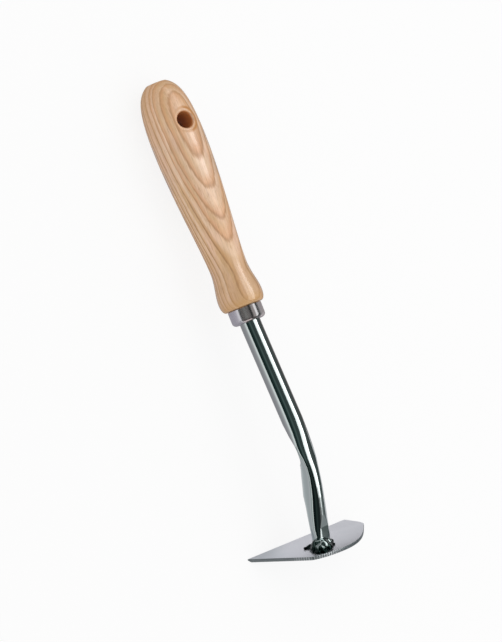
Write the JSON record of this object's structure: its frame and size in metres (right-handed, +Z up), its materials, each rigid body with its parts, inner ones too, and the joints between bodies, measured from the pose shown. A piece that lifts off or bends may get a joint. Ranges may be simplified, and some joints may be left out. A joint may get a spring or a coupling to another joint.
{
  "type": "hand hoe",
  "caption": "Short hand hoe lying at rest: turned ash handle with a hanging hole, plated ferrule, bent chromed tube and a welded steel blade with one pointed corner.",
  "frame": {"origin": "on the table under the middle of the box that holds the whole tool, as it lies at rest on the belly of its handle and on its cutting edge", "axes": "+X from the butt of the handle towards the blade, +Z up from the table, +Y across, from the pointed corner of the blade to its blunt one"},
  "size_m": [0.2824, 0.0734, 0.0414],
  "materials": {
    "lacquered_ash": "clear gloss lacquer over turned ash",
    "plated_ferrule": "bright plated",
    "chromed_tube": "polished chrome over drawn tube",
    "chromed_weld": "lumpy weld, plated with the tube",
    "satin_steel": "satin plate, ground edge"
  },
  "bodies": {
    "root": {"handle": "lacquered_ash", "ferrule": "plated_ferrule", "shank": "chromed_tube", "weld_bead": "chromed_weld", "blade": "satin_steel"}
  },
  "joints": []
}
